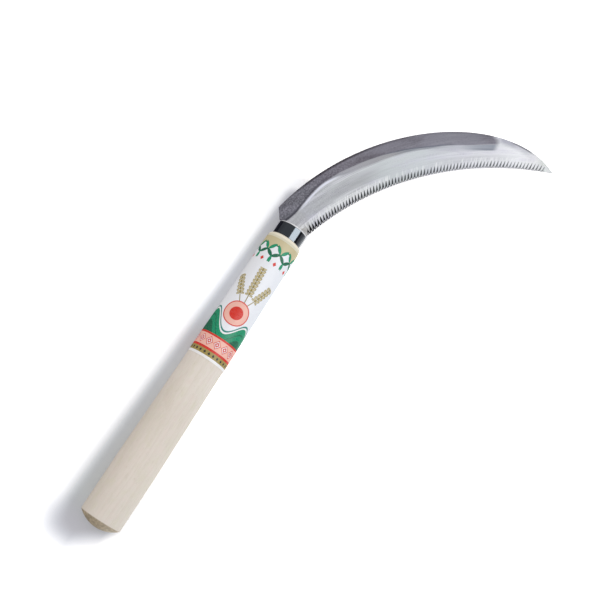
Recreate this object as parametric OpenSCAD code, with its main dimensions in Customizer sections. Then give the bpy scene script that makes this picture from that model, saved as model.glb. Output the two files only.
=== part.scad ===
// Serrated grass sickle for the left hand.
// X runs along the handle towards the blade, and the cutting edge is on the -Y side.
// Z is up as the sickle lies on a table: the blade is rolled about the handle's axis
// until its tip touches the table that the butt rests on.
// The origin is on the handle's axis, where the straight grip begins at the butt.

/* [Handle] */
// Diameter of the straight grip at the butt
butt_d = 28; // [25:0.5:32]
// Length of the straight grip
grip_len = 40; // [30:1:60]
// Length from the start of the straight grip to the shoulder under the ferrule
handle_len = 210.3; // [180:0.1:240]
// Diameter at the shoulder
shoulder_d = 23.8; // [22.5:0.1:26]
// Height of the domed butt end
dome_h = 6; // [4:0.5:9]
// Radius between the dome and the grip
butt_round = 1.5; // [0.8:0.1:2.5]
// Radius of the shoulder's edge
shoulder_round = 2.5; // [1:0.1:2.8]

/* [Ferrule] */
// Outer diameter of the steel cap
ferrule_d = 20.3; // [18.5:0.1:21]
// Length of the steel cap
ferrule_len = 10.2; // [9:0.1:16]
// Thickness of its sheet
ferrule_wall = 0.8; // [0.5:0.1:1.2]
// Outer radius where the cap turns over to its end face
ferrule_round = 1.6; // [1.3:0.1:2.2]

/* [Blade] */
// Thickness of the steel strip
blade_t = 1.4; // [1:0.1:2]
// Distance from the blade's base to its tip, along the handle
tip_reach = 131.4; // [115:0.1:150]
// Distance of the tip from the handle's axis
tip_drop = 127.2; // [110:0.1:140]
// Radius of the concave cutting edge
edge_r = 200; // [170:1:240]
// Distance of the heel from the handle's axis
heel_side = 10; // [9:0.1:12]
// Distance of the base's back end from the handle's axis
back_side = 11; // [9.5:0.1:12]
// Distance of the spine's corner from the handle's axis
corner_side = 16; // [13:0.5:19]
// Distance of the spine's corner from the blade's base
corner_rise = 6.7; // [4:0.1:10]
// Angle of the spine at its corner, below the handle's direction
corner_angle = 10; // [5:1:18]
// Length over which the spine keeps the corner's direction
corner_pull = 88; // [75:1:100]
// Angle of the spine at the tip, below the handle's direction
tip_angle = 116; // [105:1:120]
// Length over which the spine keeps the tip's direction
tip_pull = 52.5; // [42:0.5:64]

/* [Ground edge] */
// Width of the ground bevel
bevel_w = 21; // [15:0.5:24]
// Thickness left at the cutting edge
edge_t = 0.5; // [0.3:0.05:0.7]
// Distance between teeth
tooth_pitch = 2.3; // [1.8:0.1:3]
// Length of the groove behind each tooth
groove_len = 5.2; // [3.5:0.1:7]
// Flat left between two grooves
tooth_land = 0.3; // [0.2:0.05:0.5]
// Depth by which a groove breaks through the back face at the edge
groove_break = 0.3; // [0.15:0.05:0.45]
// Lean of the grooves towards the tip
groove_lean = 20; // [0:1:30]
// Plain edge left in front of the first groove
heel_plain = 2.6; // [1:0.1:5]
// Plain edge left at the tip
tip_plain = 6; // [4:0.5:15]

/* [Tang and pin] */
// Width of the tang at the blade
tang_w = 14; // [10:0.5:15]
// Width of the tang at its end
tang_end_w = 9; // [7:0.5:10]
// Length of the tang below the blade's base
tang_len = 60; // [52:1:75]
// Diameter of the nail through the handle and the tang
pin_d = 3; // [2:0.1:4]
// Distance of the nail from the handle's shoulder
pin_back = 24; // [16:1:32]
// Diameter of the nail's head
pin_head_d = 5; // [4.5:0.1:6]
// Thickness of the nail's head
pin_head_t = 0.8; // [0.5:0.1:1.2]

/* [Label] */
// Length of the printed sleeve
label_len = 91; // [60:1:110]
// Bare wood between the sleeve and the shoulder
label_back = 4; // [2.8:0.1:8]
// Thickness of the sleeve
label_t = 0.15; // [0.1:0.01:0.3]

/* [Clearances] */
// Between the handle's tenon and the ferrule, all round
tenon_gap = 0.05; // [0.02:0.01:0.2]
// Between the tang and each side of its slots
slot_gap = 0.15; // [0.1:0.01:0.3]
// Between the nail and its hole in the tang, all round
pin_gap = 0.1; // [0.05:0.01:0.3]
// Between the blade's base and the ferrule's end face
seat_gap = 0.1; // [0.05:0.01:0.3]
// Between the tenon's end and the inside of the ferrule
end_gap = 0.4; // [0.2:0.1:1]
// Between the wood and the sleeve, filled by its glue
glue_gap = 0.05; // [0.02:0.01:0.1]
// Between the nail's ends and the handle's surface
pin_sink = 0.3; // [0.2:0.1:0.6]

/* [Hidden] */
$fn = 96;
arc_steps = 8;
spine_steps = 60;
// Overlap that keeps a cut from ending flush with a face
over = 2;
// Share of a groove's mouth on the tip's side of its lowest line
steep_share = 0.25;
// Height by which a groove's cutter stands above the bevel at the edge
cutter_top = 0.15;
// Length of the tang's root inside the crescent
tang_root = 1;

// Handle and ferrule
butt_r = butt_d / 2;
shoulder_r = shoulder_d / 2;
taper_end = handle_len - shoulder_round;
ferrule_top = handle_len + ferrule_len;
tenon_r = ferrule_d / 2 - ferrule_wall - tenon_gap;
tenon_end = ferrule_top - ferrule_wall - end_gap;
dome_rim_r = butt_r - butt_round;
dome_r = (dome_rim_r * dome_rim_r + dome_h * dome_h - butt_round * butt_round)
    / (2 * (dome_h - butt_round));
dome_centre = dome_r - dome_h;
dome_angle = atan(dome_rim_r / dome_centre);

// Blade
base_x = ferrule_top + seat_gap;
tip = [base_x + tip_reach, -tip_drop];
heel = [base_x, -heel_side];
corner = [base_x + corner_rise, corner_side];
edge_centre = arc_centre(heel, tip, edge_r);
heel_turn = atan2(heel.y - edge_centre.y, heel.x - edge_centre.x);
tip_turn = atan2(tip.y - edge_centre.y, tip.x - edge_centre.x);
edge_arc = (heel_turn - tip_turn) * PI / 180 * edge_r;
bevel_slope = (blade_t - edge_t) / bevel_w;
groove_count = floor((edge_arc - heel_plain - tip_plain) / tooth_pitch) + 1;
groove_turn = tooth_pitch / edge_r * 180 / PI;
first_turn = heel_turn - heel_plain / edge_r * 180 / PI;
groove_depth = edge_t + groove_break;
groove_slope = atan(groove_depth / groove_len + bevel_slope * cos(groove_lean));

// Pin
pin_x = handle_len - pin_back;
pin_len = 2 * (handle_r(pin_x) - pin_sink);

// Label
label_end = handle_len - label_back;
label_start = label_end - label_len;

// Roll about the handle's axis at which the tip touches the table
tip_far = norm([tip_drop, blade_t / 2]);
lie_roll = asin(butt_r / tip_far) - atan(blade_t / 2 / tip_drop);

// Radius of the handle at x
function handle_r(x) = x < grip_len ? butt_r
    : butt_r + (shoulder_r - butt_r) * (x - grip_len) / (taper_end - grip_len);

// Points on an arc about c, from angle a to angle b
function arc(c, r, a, b, n = arc_steps) =
    [for (i = [0:n]) let (t = a + (b - a) * i / n) c + r * [cos(t), sin(t)]];

// Centre of the circle of radius r through p and q, on the right of the way from p to q
function arc_centre(p, q, r) =
    let (d = q - p, len = norm(d), side = [d.y, -d.x] / len)
    (p + q) / 2 + side * sqrt(r * r - len * len / 4);

// Point at share t of a cubic curve with end points a and d and guide points b and c
function cubic(a, b, c, d, t) =
    let (s = 1 - t) s * s * s * a + 3 * s * s * t * b + 3 * s * t * t * c + t * t * t * d;

// Turns a profile of [radius, x] points about the handle's axis
module turned(points) {
    rotate([0, 90, 0]) rotate_extrude() polygon(points);
}

// Lays a shape made in the blade's own plane over to the table
module lying() {
    rotate([lie_roll, 0, 0]) children();
}

// Slot for the tang from x0 to x1, along the blade's plane
module tang_slot(x0, x1) {
    slot_w = tang_w + 2 * slot_gap;
    slot_t = blade_t + 2 * slot_gap;
    translate([x0, -slot_w / 2, -slot_t / 2]) cube([x1 - x0, slot_w, slot_t]);
}

// Turned wooden handle with its tenon, the slot for the tang and the hole for the nail
module handle() {
    dome = arc([0, dome_centre], dome_r, -90, dome_angle - 90);
    rim = arc([dome_rim_r, 0], butt_round, dome_angle - 90, 0);
    shoulder = arc([shoulder_r - shoulder_round, taper_end], shoulder_round, 0, 90);
    tenon = [[tenon_r, handle_len], [tenon_r, tenon_end], [0, tenon_end]];
    head_z = pin_len / 2 - pin_head_t;
    color([0.87, 0.82, 0.74]) difference() {
        turned(concat(dome, rim, [[butt_r, grip_len]], shoulder, tenon));
        lying() tang_slot(base_x - tang_len - slot_gap, ferrule_top + over);
        lying() translate([pin_x, 0, -butt_d]) cylinder(d = pin_d, h = 2 * butt_d);
        lying() translate([pin_x, 0, head_z]) cylinder(d = pin_head_d, h = butt_d);
    }
}

// Drawn steel cap over the tenon, slotted for the tang
module ferrule() {
    outer_r = ferrule_d / 2;
    inner_r = outer_r - ferrule_wall;
    inner_top = ferrule_top - ferrule_wall;
    inner_round = ferrule_round - ferrule_wall;
    outside = arc([outer_r - ferrule_round, ferrule_top - ferrule_round], ferrule_round, 0, 90);
    inside = arc([inner_r - inner_round, inner_top - inner_round], inner_round, 90, 0);
    color([0.1, 0.11, 0.13]) difference() {
        turned(concat([[outer_r, handle_len]], outside, [[0, ferrule_top], [0, inner_top]],
            inside, [[inner_r, handle_len]]));
        lying() tang_slot(handle_len, ferrule_top + over);
    }
}

// Outline of the blade, run on past the cutting edge at its heel and its tip
module blade_outline() {
    corner_guide = corner + corner_pull * [cos(corner_angle), -sin(corner_angle)];
    tip_guide = tip - tip_pull * [cos(tip_angle), -sin(tip_angle)];
    spine = [for (i = [0:spine_steps]) cubic(corner, corner_guide, tip_guide, tip, i / spine_steps)];
    past_tip = tip + over * [cos(tip_angle), -sin(tip_angle)];
    polygon(concat([[base_x, back_side]], spine, [past_tip, heel - [0, over]]));
}

// Ring that grinds the bevel, from the edge up to the blade's upper face
module bevel_ring() {
    inner = edge_r - over;
    outer = edge_r + bevel_w + over;
    low = edge_t - blade_t / 2;
    top = low + (outer - edge_r) * bevel_slope;
    translate([edge_centre.x, edge_centre.y, 0])
        rotate_extrude() polygon([[inner, low - over * bevel_slope], [outer, top], [inner, top]]);
}

// Groove that runs from the edge up the bevel and out of it
module groove() {
    mouth = tooth_pitch - tooth_land;
    height = groove_depth + cutter_top;
    translate([0, 0, -blade_t / 2 - groove_break])
        rotate([0, -groove_slope, 0]) translate([-over, 0, 0]) rotate([90, 0, 90])
            linear_extrude(groove_len + 2 * over)
                polygon([[0, 0], [(1 - steep_share) * mouth, height], [-steep_share * mouth, height]]);
}

// One steel blank: the serrated crescent and the tang, with the hole for the nail
module blade() {
    tang_end = base_x - tang_len;
    tang_top = base_x + tang_root;
    color([0.75, 0.76, 0.79]) lying() difference() {
        union() {
            difference() {
                translate([0, 0, -blade_t / 2]) linear_extrude(blade_t) blade_outline();
                translate([edge_centre.x, edge_centre.y, -blade_t])
                    cylinder(r = edge_r, h = 2 * blade_t);
                bevel_ring();
                for (i = [0:groove_count - 1])
                    translate([edge_centre.x, edge_centre.y, 0])
                        rotate(first_turn - i * groove_turn) translate([edge_r, 0, 0])
                            rotate(-groove_lean) groove();
            }
            translate([0, 0, -blade_t / 2]) linear_extrude(blade_t)
                polygon([[tang_top, tang_w / 2], [tang_top, -tang_w / 2],
                    [tang_end, -tang_end_w / 2], [tang_end, tang_end_w / 2]]);
        }
        translate([pin_x, 0, -blade_t]) cylinder(d = pin_d + 2 * pin_gap, h = 2 * blade_t);
    }
}

// Steel nail that holds the tang in the handle, under the label
module tang_pin() {
    color([0.6, 0.61, 0.63]) lying() translate([pin_x, 0, -pin_len / 2]) {
        cylinder(d = pin_d, h = pin_len);
        translate([0, 0, pin_len - pin_head_t]) cylinder(d = pin_head_d, h = pin_head_t);
    }
}

// Printed sleeve glued round the handle
module label() {
    low_r = handle_r(label_start) + glue_gap;
    high_r = handle_r(label_end) + glue_gap;
    color([0.9, 0.9, 0.92]) turned([[low_r, label_start], [high_r, label_end],
        [high_r + label_t, label_end], [low_r + label_t, label_start]]);
}

handle();
ferrule();
blade();
tang_pin();
label();
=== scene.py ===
# %% [markdown]
# # A serrated grass sickle
# A pale wooden handle with a printed sleeve and a black steel cap carries a crescent of steel
# whose ground edge is cut into fine teeth. It lies on a white table, seen nearly from above.
# The solids come ready made from the frame. This script dresses them: it builds a finer piece
# over each solid but the hidden nail, gives every piece a finish made of nodes, and lights the
# table.

# %% Frame and the solids
import math
import bmesh
import bpy
from mathutils import Matrix, Vector


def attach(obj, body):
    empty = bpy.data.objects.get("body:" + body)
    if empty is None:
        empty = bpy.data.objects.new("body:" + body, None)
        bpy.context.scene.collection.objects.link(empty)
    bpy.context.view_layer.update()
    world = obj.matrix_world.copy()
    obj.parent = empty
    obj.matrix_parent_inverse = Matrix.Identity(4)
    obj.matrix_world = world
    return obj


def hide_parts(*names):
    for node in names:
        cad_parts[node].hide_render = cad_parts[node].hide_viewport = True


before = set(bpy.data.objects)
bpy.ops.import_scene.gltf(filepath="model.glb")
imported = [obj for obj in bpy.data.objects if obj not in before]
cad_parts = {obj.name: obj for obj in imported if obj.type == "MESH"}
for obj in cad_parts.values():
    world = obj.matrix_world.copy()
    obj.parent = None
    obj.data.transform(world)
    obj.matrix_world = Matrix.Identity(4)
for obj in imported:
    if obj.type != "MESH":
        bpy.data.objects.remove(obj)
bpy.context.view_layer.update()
print("solids:", sorted(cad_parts))

# %% [markdown]
# ## Sizes
# Blender works in metres and a maker thinks in millimetres, so lengths are written in
# millimetres and turned into metres by one factor. X runs along the handle to the blade, Z is
# up, and the cutting edge is on the -Y side. The blade lies in a plane that is rolled a little
# about the handle's axis, because the tip touches the table that the thick butt rests on.

# %% Sizes that lay the sickle on the table
MM = 0.001
BUTT_R = 14.0
BLADE_T = 1.4
TIP_DROP = 127.2
TABLE_Z = -BUTT_R
ROLL = math.asin(BUTT_R / math.hypot(TIP_DROP, BLADE_T / 2)) - math.atan(BLADE_T / 2 / TIP_DROP)
print("blade plane rolled by", round(math.degrees(ROLL), 2), "degrees")

# %% [markdown]
# ## Camera
# The picture looks down on the sickle from the butt's side, 15 degrees off the vertical, with
# no roll, so that the handle runs from the lower left to the blade at the upper right. A camera
# could be turned by hand until the picture looks right. Here its place and direction were worked
# out from the outline of the butt, the cap, the heel and the tip, which is more exact. A long
# lens from 65 cm keeps the two ends at nearly the same scale.

# %% Camera
CAMERA_PLACE = Vector((0.03717, -0.11955, 0.62279))
CAMERA_FORWARD = Vector((0.2233, 0.1396, -0.9647)).normalized()
CAMERA_RIGHT = Vector((0.5302, -0.8479, 0.0)).normalized()
SENSOR_WIDTH, FOCAL_LENGTH = 36.0, 60.0


def shown(name, data):
    """An object that carries the data, put into the scene."""
    made = bpy.data.objects.new(name, data)
    bpy.context.scene.collection.objects.link(made)
    return made


camera = shown("camera", bpy.data.cameras.new("camera"))
camera.data.sensor_width, camera.data.lens = SENSOR_WIDTH, FOCAL_LENGTH
axes = (CAMERA_RIGHT, CAMERA_RIGHT.cross(CAMERA_FORWARD), -CAMERA_FORWARD)
camera.matrix_world = Matrix.Translation(CAMERA_PLACE) @ Matrix(axes).transposed().to_4x4()
bpy.context.scene.camera = camera
print("camera", round(math.degrees(math.acos(-CAMERA_FORWARD.z)), 1), "degrees off the vertical")

# %% [markdown]
# ## Two small tools for node trees
# A node tree is a list of nodes and links. It can be drawn by hand in the editor, but a formula
# of forty nodes is hard to draw and harder to change. So `Web.node` makes any node from its
# type, its settings, which may change its sockets and so come first, and the values or links of
# its sockets, as a list where a socket takes several links. `Num` stands for a number that
# changes over a surface. Python's own operators on it add Math nodes, so that a pattern reads
# as a formula.

# %% Node tools
class Web:
    """Adds nodes to one node tree."""

    def __init__(self, tree):
        self.tree = tree

    def node(self, kind, settings=None, sockets=None):
        """A node of this type. Stops, points and choices fill a ramp, a curve and a switch."""
        made = self.tree.nodes.new(kind)
        for name, value in (settings or {}).items():
            if name == "stops":
                stops = made.color_ramp.elements
                stops.remove(stops[1])
                stops[0].position, stops[0].color = value[0]
                for place, colour in value[1:]:
                    stops.new(place).color = colour
            elif name == "points":
                curve = made.mapping.curves[0]
                while len(curve.points) < len(value):
                    curve.points.new(0.5, 0.5)
                for point, place in zip(curve.points, value):
                    point.location = place
                made.mapping.update()
            elif name == "choices":
                while len(made.index_switch_items) < value:
                    made.index_switch_items.new()
            else:
                setattr(made, name, value)
        for key, value in (sockets or {}).items():
            for one in value if isinstance(value, list) else [value]:
                one = one.socket if isinstance(one, Num) else one
                if isinstance(one, bpy.types.NodeSocket):
                    self.tree.links.new(one, made.inputs[key])
                else:
                    made.inputs[key].default_value = one
        return made

    def number(self, kind, settings=None, sockets=None, output=0):
        return Num(self, self.node(kind, settings, sockets).outputs[output])

    def math(self, operation, *values):
        return self.number("ShaderNodeMath", {"operation": operation}, dict(enumerate(values)))

    def pick(self, index, values):
        """The value whose place in the list is index."""
        sockets = {"Index": index, **{n + 1: value for n, value in enumerate(values)}}
        return self.number("GeometryNodeIndexSwitch", {"data_type": "FLOAT",
                                                       "choices": len(values)}, sockets)


def math_method(operation, swapped=False):
    """A method that adds one Math node. Swapped is for a plain number on the left, as in 1 - n."""
    def method(self, *others):
        return self.web.math(operation, *((*others, self) if swapped else (self, *others)))
    return method


class Num:
    """A number in a node tree. Python's operators on it add Math nodes."""

    def __init__(self, web, socket):
        self.web, self.socket = web, socket

    __add__ = __radd__ = math_method("ADD")
    __mul__ = __rmul__ = math_method("MULTIPLY")
    __sub__, __rsub__ = math_method("SUBTRACT"), math_method("SUBTRACT", swapped=True)
    __truediv__, __rtruediv__ = math_method("DIVIDE"), math_method("DIVIDE", swapped=True)
    __pow__, __mod__ = math_method("POWER"), math_method("FLOORED_MODULO")
    __lt__, __gt__ = math_method("LESS_THAN"), math_method("GREATER_THAN")
    __abs__, floor, sqrt = math_method("ABSOLUTE"), math_method("FLOOR"), math_method("SQRT")
    sin, cos = math_method("SINE"), math_method("COSINE")
    # The smaller and the larger of two numbers
    low, high = math_method("MINIMUM"), math_method("MAXIMUM")

    def __neg__(self):
        return self * -1.0

    def rise(self, start, end):
        """0 before start, 1 after end, and smooth between them."""
        return self.web.number("ShaderNodeMapRange", {"interpolation_type": "SMOOTHSTEP"},
                               {0: self, 1: start, 2: end, 3: 0.0, 4: 1.0})

    def to(self, other, share):
        """This number at share 0, and the other at share 1."""
        return self + (other - self) * share


# %% [markdown]
# ## Growing a piece with Geometry Nodes
# A tree gets named inputs for its sizes, so that the same tree makes a longer or a coarser
# piece. The sizes are put in by the sockets' identifiers before the tree first runs, and the
# result is taken as a plain mesh, because the modifier has done its work by then.

# %% Trees with named inputs, and the mesh they give
def shape_tree(name, sizes):
    """A geometry tree with one input for each size, as (web, {name: number}, material socket)."""
    tree = bpy.data.node_groups.new(name, "GeometryNodeTree")
    tree.interface.new_socket("Geometry", in_out="OUTPUT", socket_type="NodeSocketGeometry")
    for size in sizes:
        tree.interface.new_socket(size, in_out="INPUT", socket_type="NodeSocketFloat")
    tree.interface.new_socket("Finish", in_out="INPUT", socket_type="NodeSocketMaterial")
    web = Web(tree)
    start = web.node("NodeGroupInput")
    return web, {size: Num(web, start.outputs[size]) for size in sizes}, start.outputs["Finish"]


def applied(piece):
    """Makes a plain mesh of what the piece's modifiers give, and takes the modifiers off."""
    depsgraph = bpy.context.evaluated_depsgraph_get()
    mesh = bpy.data.meshes.new_from_object(piece.evaluated_get(depsgraph))
    piece.modifiers.clear()
    piece.data = mesh
    mesh.name = piece.name
    return piece


def grown(name, web, shape, sizes, finish, finish_socket):
    """The object that the tree makes, as a plain mesh."""
    real = web.node("GeometryNodeRealizeInstances", None, {"Geometry": shape})
    dressed = web.node("GeometryNodeSetMaterial", None,
                       {"Geometry": real.outputs[0], "Material": finish_socket})
    web.node("NodeGroupOutput", None, {"Geometry": dressed.outputs[0]})
    piece = shown(name, bpy.data.meshes.new(name))
    modifier = piece.modifiers.new("shape", "NODES")
    modifier.node_group = web.tree
    for item in web.tree.interface.items_tree:
        if item.in_out == "INPUT":
            modifier[item.identifier] = finish if item.name == "Finish" else sizes[item.name]
    return applied(piece)


# %% [markdown]
# ## The white table
# The sickle lies on plain white paper. The lamps cast a shade on the far side of the handle, and
# its outline and tint are painted into the paper's colour: a painted shadow that fades towards
# the blade, reaches a little further beyond the butt, is cooler near its rim and slightly violet
# by the butt. Brighter lamps could make the paper white, but they would wash out the wood as
# well. So the light stays moderate, and the paper's colour is what whitens: the camera sees it
# over-white where the floor is clear of the handle, and plain, darker paper where it is near.
# Shiny parts see a painted reflection: a floor that is pale on the edge's side and dark on the
# shadow's side.

# %% Helpers for materials
def srgb(red, green, blue):
    """A colour written as 0 to 255, as the shader's own linear numbers."""
    def linear(c):
        c /= 255
        return c / 12.92 if c <= 0.04045 else ((c + 0.055) / 1.055) ** 2.4
    return (linear(red), linear(green), linear(blue), 1.0)


def new_material(name):
    """A material and its web, with the nodes that a new material comes with taken out."""
    material = bpy.data.materials.new(name)
    material.use_nodes = True
    material.node_tree.nodes.clear()
    return material, Web(material.node_tree)


def mix(web, share, first, second, blend="MIX"):
    """Two colours mixed, the second at share 1. Three numbers are a colour as 0 to 255."""
    first, second = (srgb(*colour) if isinstance(colour, tuple) and len(colour) == 3 else colour
                     for colour in (first, second))
    return web.node("ShaderNodeMix", {"data_type": "RGBA", "blend_type": blend,
                                      "clamp_factor": True},
                    {0: share, 6: first, 7: second}).outputs[2]


def rays(web, *kinds):
    """1 for rays of these kinds, 0 for the rest."""
    path = web.node("ShaderNodeLightPath")
    found = Num(web, path.outputs[kinds[0]])
    for kind in kinds[1:]:
        found = found.high(Num(web, path.outputs[kind]))
    return found


def separate(web, vector):
    """The three numbers of a vector."""
    parts = web.node("ShaderNodeSeparateXYZ", None, {0: vector})
    return [Num(web, parts.outputs[n]) for n in range(3)]


def place_mm(web):
    """The point's own x, y and z in millimetres."""
    coords = web.node("ShaderNodeTexCoord")
    return [part * 1000 for part in separate(web, coords.outputs["Object"])]


def grey(level):
    """A linear colour without a tint, which may be brighter than white."""
    return (level, level, level, 1)


# %% Floor sheet
FLOOR_HALF = 4.0
floor_mesh = bpy.data.meshes.new("floor")
floor_mesh.from_pydata([(x * FLOOR_HALF, y * FLOOR_HALF, TABLE_Z * MM)
                        for x, y in ((-1, -1), (1, -1), (1, 1), (-1, 1))], [], [(0, 1, 2, 3)])
floor = shown("floor", floor_mesh)
print("floor:", 2 * FLOOR_HALF, "m square, at z", TABLE_Z, "mm")

# %% How far a point of the floor is from the painted shadow beside the handle, in millimetres
SHADE_FROM, SHADE_TO = -4.0, 236.0
FAR_SIDE, NEAR_SIDE, LIT_SIDE = 9.0, 13.0, -4.0
paper, web = new_material("white table")
x, y, z = place_mm(web)
beside = (x / SHADE_TO).high(0.0).low(1.0)
past_butt = 1 - x.rise(-14.0, 2.0)
off_x = (x - x.high(SHADE_FROM).low(SHADE_TO)) * 1.1
off_y = (y - FAR_SIDE + beside * 3.0).high(0.0)
off_xx, off_yy = off_x * off_x, off_y * off_y
rounded = (off_xx * off_xx + off_yy * off_yy) ** 0.25
clear = rounded + beside * 2.5 + (NEAR_SIDE - y).high(0.0) * (0.6 + past_butt * 0.25)
clear = clear + (LIT_SIDE - y).high(0.0) * (1.3 + beside * 2.5)

# %% Paper, as the camera and as shiny parts see it
WHITE_PAPER, OPEN_PAPER, MATT_PAPER = grey(1.6), grey(2.4), grey(0.78)
# Painted shadow: inside it the camera sees darker paper, lighter and bluer towards the blade and
# violet by the butt
painted_shadow_paper = mix(web, beside, (0.65, 0.685, 0.70, 1), (0.82, 0.84, 0.90, 1))
painted_shadow_paper = mix(web, x.rise(-14.0, 10.0), (0.60, 0.61, 0.66, 1), painted_shadow_paper)
full_light = 28.6 - beside * 8.0 + past_butt * 7.0
over_white = mix(web, clear.rise(14.0 - past_butt * 3.0, full_light), painted_shadow_paper, WHITE_PAPER)
over_white = mix(web, clear.rise(26.0 + past_butt * 6.0, 36.0 + past_butt * 8.0), over_white,
                 OPEN_PAPER)
# Painted tint: the rim of the painted shadow is a little cooler
painted_penumbra = clear.rise(12.0, 19.0) * (1 - clear.rise(24.0, 30.0))
over_white = mix(web, painted_penumbra, over_white, (0.955, 0.975, 1.0, 1), "MULTIPLY")
# Painted reflection: shiny parts see the floor over-bright by the handle on the lit side and dark
# on the shadow's side
by_handle = 1 - x.rise(215.0, 235.0)
lit_side = mix(web, by_handle, grey(1), (2.2, 2.3, 2.35, 1))
painted_floor_reflection = mix(web, y.rise(-8.0, 0.0), lit_side, (0.1, 0.1, 0.14, 1))
bounce = mix(web, rays(web, "Is Glossy Ray"), MATT_PAPER, painted_floor_reflection)
bounce = mix(web, rays(web, "Is Transmission Ray"), bounce, grey(1))
matt = web.node("ShaderNodeBsdfDiffuse", None, {
    "Color": mix(web, rays(web, "Is Camera Ray"), bounce, over_white)})
web.node("ShaderNodeOutputMaterial", None, {"Surface": matt.outputs[0]})
floor_mesh.materials.append(paper)
print(paper.name, "has", len(web.tree.nodes), "nodes")

# %% [markdown]
# ## The sky
# A photographer puts a small thing into a white tent, so that soft light comes from everywhere.
# A dome of lamps could do that here, but the world's own colour does it with less noise. It is a
# little warmer on the shadow's side and dark low down in front. Shiny parts see a bright ceiling
# that darkens towards the horizon, as in a room, which gives a polished surface its depth. The
# camera sees plain white.

# %% World
SKY, SKY_SHADOW_SIDE = (0.75, 0.75, 0.77, 1), (0.80, 0.765, 0.735, 1)
SKY_LOW_FRONT = (0.06, 0.14, 0.20, 1)
ROOM_CEILING, ROOM_LOW, ROOM_LOW_FRONT = grey(1.06), (0.58, 0.58, 0.62, 1), (0.06, 0.06, 0.08, 1)
world = bpy.data.worlds.new("studio")
world.use_nodes = True
world.node_tree.nodes.clear()
web = Web(world.node_tree)
direction = web.node("ShaderNodeTexCoord").outputs["Generated"]
_, to_side, height = separate(web, direction)
low_room = mix(web, to_side.rise(-0.8, -0.3), ROOM_LOW_FRONT, ROOM_LOW)
room = mix(web, height.rise(0.1, 0.8), low_room, ROOM_CEILING)
shade = mix(web, to_side.rise(-0.3, 0.9), SKY, SKY_SHADOW_SIDE)
low_front = (1 - to_side.rise(-0.8, -0.2)) * (1 - height.rise(0.05, 0.35))
shade = mix(web, low_front, shade, SKY_LOW_FRONT)
shade = mix(web, rays(web, "Is Glossy Ray"), shade, room)
shade = mix(web, rays(web, "Is Camera Ray", "Is Transmission Ray"), shade, grey(1))
sky = web.node("ShaderNodeBackground", None, {"Color": shade})
web.node("ShaderNodeOutputWorld", None, {"Surface": sky.outputs[0]})
bpy.context.scene.world = world
bpy.context.scene.view_settings.view_transform = "Standard"
print("sky has", len(web.tree.nodes), "nodes")

# %% [markdown]
# ## Lamps
# One large soft lamp stands on the cutting edge's side, as a softbox would. A softbox also shows
# as a bright patch on the black cap and as a soft sheen on the printed sleeve. One lamp could do
# both, but then it would streak the steel and the wood too. So a second lamp, a little higher,
# lights gloss only, and only on those two pieces, through light linking.

# %% One soft lamp, and its reflection on the glossy pieces
SICKLE_MIDDLE = Vector((0.17, -0.03, 0))


def lamp(name, direction, distance, size, watts, colour):
    """A square soft lamp that looks at the middle of the sickle from a direction."""
    made = shown(name, bpy.data.lights.new(name, "AREA"))
    data = made.data
    data.shape, data.size, data.energy, data.color = "SQUARE", size, watts, colour
    away = Vector(direction).normalized()
    made.location = SICKLE_MIDDLE + away * distance
    made.rotation_mode = "QUATERNION"
    made.rotation_quaternion = away.to_track_quat("Z", "Y")
    return made


key = lamp("key", (0.10, -0.87, 0.48), distance=1.6, size=1.2, watts=7.35,
           colour=(1.0, 0.99, 0.98))
key.visible_glossy = False
sheen = lamp("sheen", (0.10, -0.695, 0.705), distance=1.5, size=1.35, watts=92.0,
             colour=(0.98, 1.0, 1.0))
sheen.visible_diffuse = False
glossy_pieces = bpy.data.collections.new("glossy pieces")
sheen.light_linking.receiver_collection = glossy_pieces
print("lamps:", key.name, sheen.name)

# %% [markdown]
# ## The blade
# The real blade is one strip of steel, cut to a crescent, ground thin along its inside curve,
# and then filed across that bevel every couple of millimetres. Each file stroke leaves a
# leaning groove that breaks through the back, and what stands between two grooves is a tooth.
# It could be cut from a plate with 76 file shapes, which is slow and leaves ragged meshes. But
# all of it follows a rule, so the blade is a Geometry Nodes tree, and a new pitch or a new curve
# is one number. It starts from a flat grid whose columns run along the edge and whose rows run
# once round the strip's section: over the bevel to the spine and back under it. Every point's
# place is then worked out in polar coordinates about the centre of the edge's arc: how far
# along, how far across and how high.

# %% Sizes of the blade
BLADE_SIZES = {
    "Base": 220.6, "Heel side": 10.0, "Back side": 11.0, "Corner rise": 6.7,
    "Corner side": 16.0, "Corner angle": 10.0, "Corner pull": 88.0,
    "Tip reach": 131.4, "Tip drop": TIP_DROP, "Tip angle": 116.0, "Tip pull": 52.5,
    "Edge radius": 200.0, "Thickness": BLADE_T, "Edge thickness": 0.5, "Spine chamfer": 0.25,
    "Tooth pitch": 2.3, "Groove length": 5.2, "Groove break": 0.3, "Groove lean": 20.0,
    "Heel plain": 2.6, "Tip plain": 6.0, "Roll": math.degrees(ROLL),
    "Tang width": 14.0, "Tang end width": 9.0, "Tang length": 60.0, "Tang root": 0.1,
    "Nail hole": 3.2, "Nail place": 186.3,
}
# Width of the bevel along the edge: share of the edge from the heel, width in millimetres
BEVEL_WIDTHS = [(0.0, 16.2), (0.05, 17.7), (0.094, 19.6), (0.138, 21.9), (0.182, 22.7),
                (0.275, 22.6), (0.358, 22.6), (0.419, 22.1), (0.507, 19.5), (0.595, 17.9),
                (0.66, 16.9), (0.72, 16.2), (0.786, 13.2), (0.86, 11.5), (1.0, 11.0)]
WIDEST = 40.0
print("a groove every", BLADE_SIZES["Tooth pitch"], "mm along the edge")

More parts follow.
